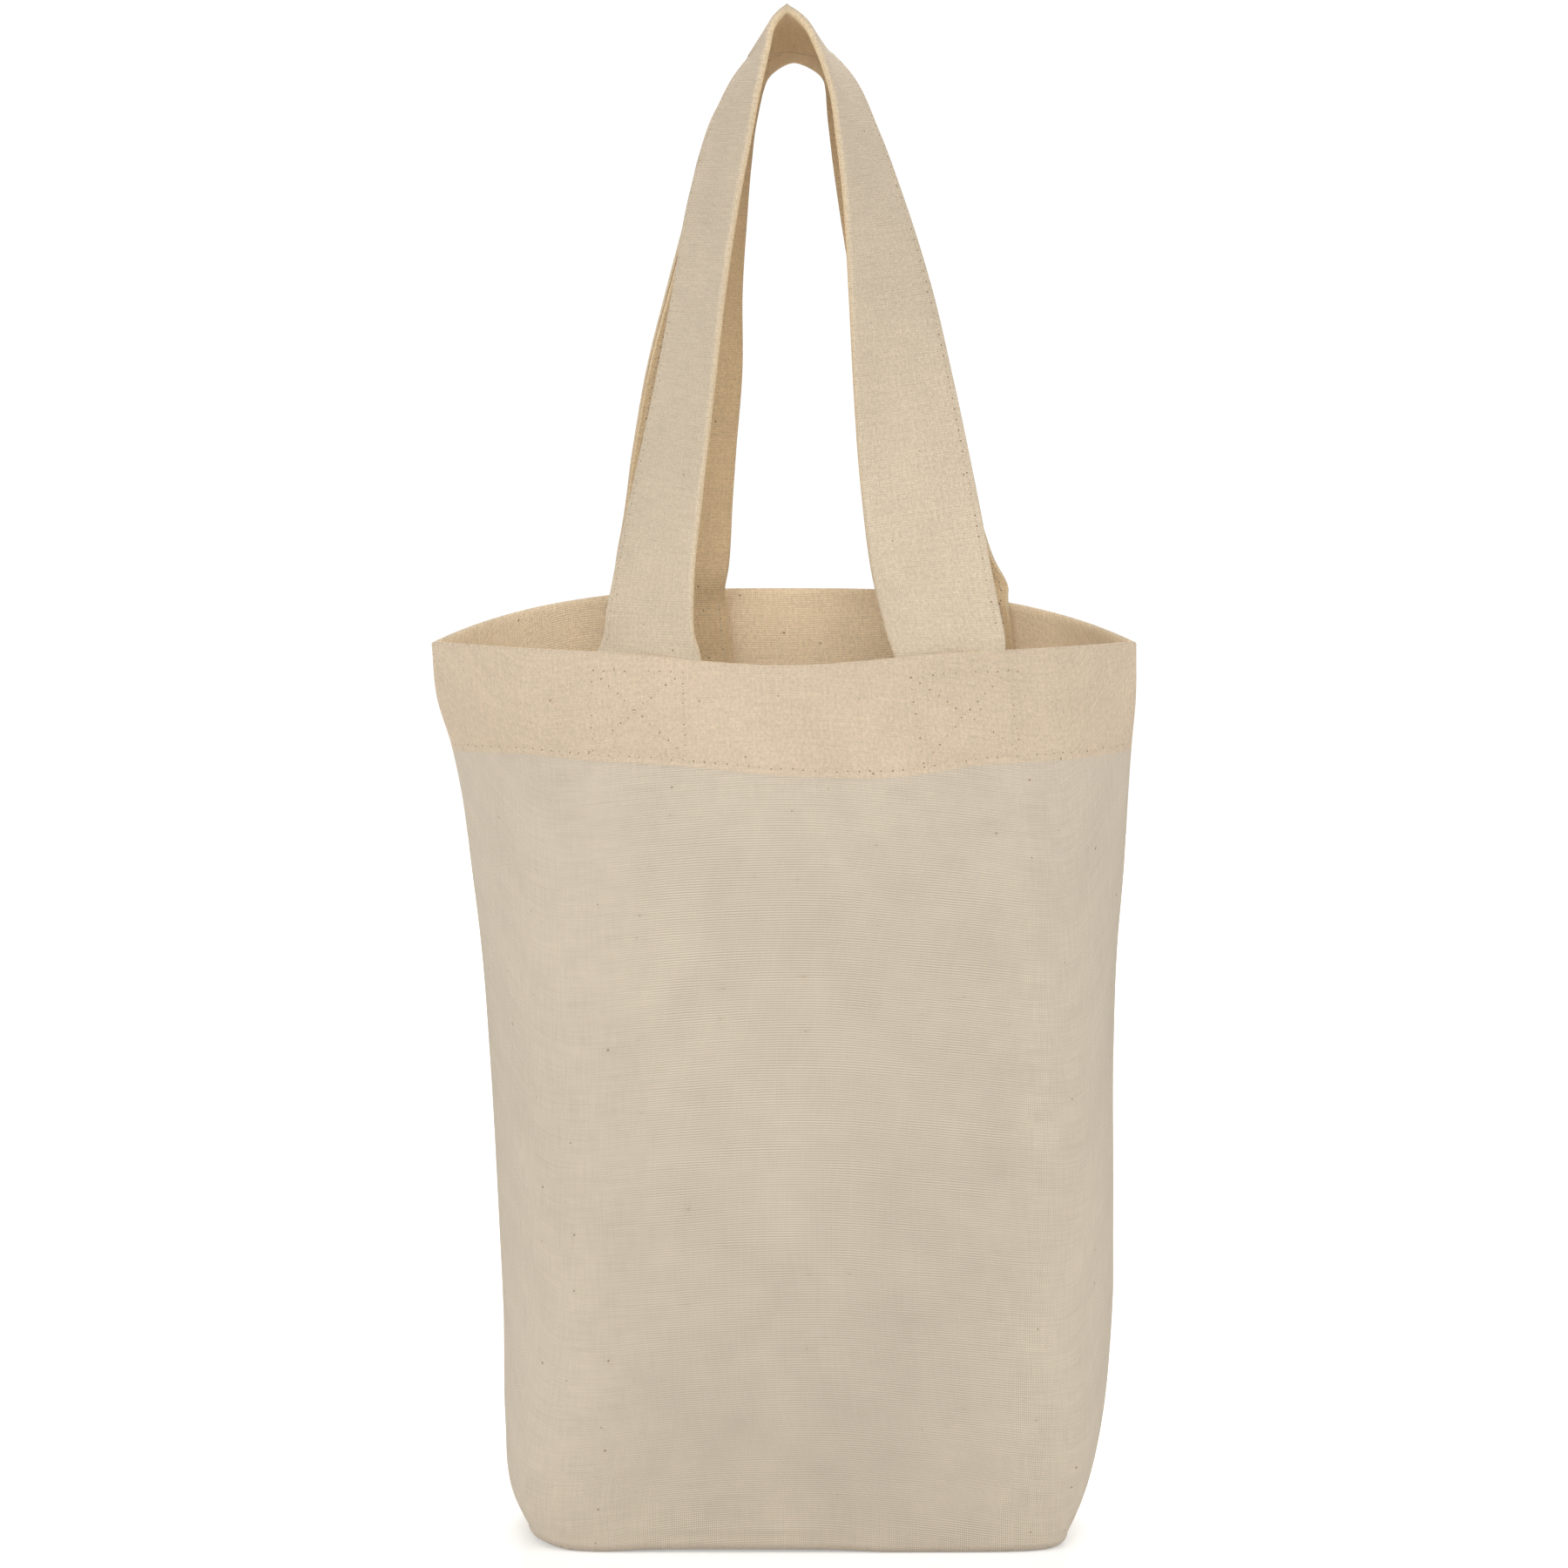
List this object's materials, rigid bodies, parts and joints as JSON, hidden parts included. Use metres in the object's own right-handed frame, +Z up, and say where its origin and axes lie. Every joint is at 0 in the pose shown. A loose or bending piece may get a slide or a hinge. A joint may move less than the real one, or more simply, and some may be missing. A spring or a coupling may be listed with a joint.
{
  "type": "tote bag",
  "caption": "Small open cotton tote bag with a boxed flat base, a turned and stitched hem at the mouth, and folded strap handles that stand up and meet at the top.",
  "frame": {"origin": "middle of the bag's flat base, on the surface that it stands on", "axes": "+Z up to the top of the handles, +X to the right along the mouth as seen from the front, +Y from the front panel to the back panel"},
  "size_m": [0.1515, 0.0626, 0.3294],
  "materials": {
    "panel_cloth": "matt plain-weave unbleached cotton with small seed flecks",
    "hem_cloth": "the same cotton in two layers, warmer in tone, with a row of stitches",
    "handle_cloth": "the same cotton folded into a flat strap",
    "seam_cloth": "raw cut edges of the cotton, sewn together"
  },
  "bodies": {
    "bag_body": {"front_panel": "panel_cloth", "back_panel": "panel_cloth", "front_hem": "hem_cloth", "back_hem": "hem_cloth", "left_side_seam": "seam_cloth", "right_side_seam": "seam_cloth", "left_corner_seam": "seam_cloth", "right_corner_seam": "seam_cloth", "bottom_seam": "seam_cloth", "front_handle_left_end": "handle_cloth", "front_handle_right_end": "handle_cloth", "back_handle_left_end": "handle_cloth", "back_handle_right_end": "handle_cloth"},
    "front_handle": {"front_handle": "handle_cloth"},
    "back_handle": {"back_handle": "handle_cloth"}
  },
  "joints": [
    {"name": "front_handle_swing", "type": "hinge", "parent": "bag_body", "child": "front_handle", "pos_m": [0, -0.028, 0.1962], "axis": [1, 0, 0], "range_deg": [0, 165]},
    {"name": "back_handle_swing", "type": "hinge", "parent": "bag_body", "child": "back_handle", "pos_m": [0, 0.028, 0.2054], "axis": [-1, 0, 0], "range_deg": [0, 165]}
  ]
}
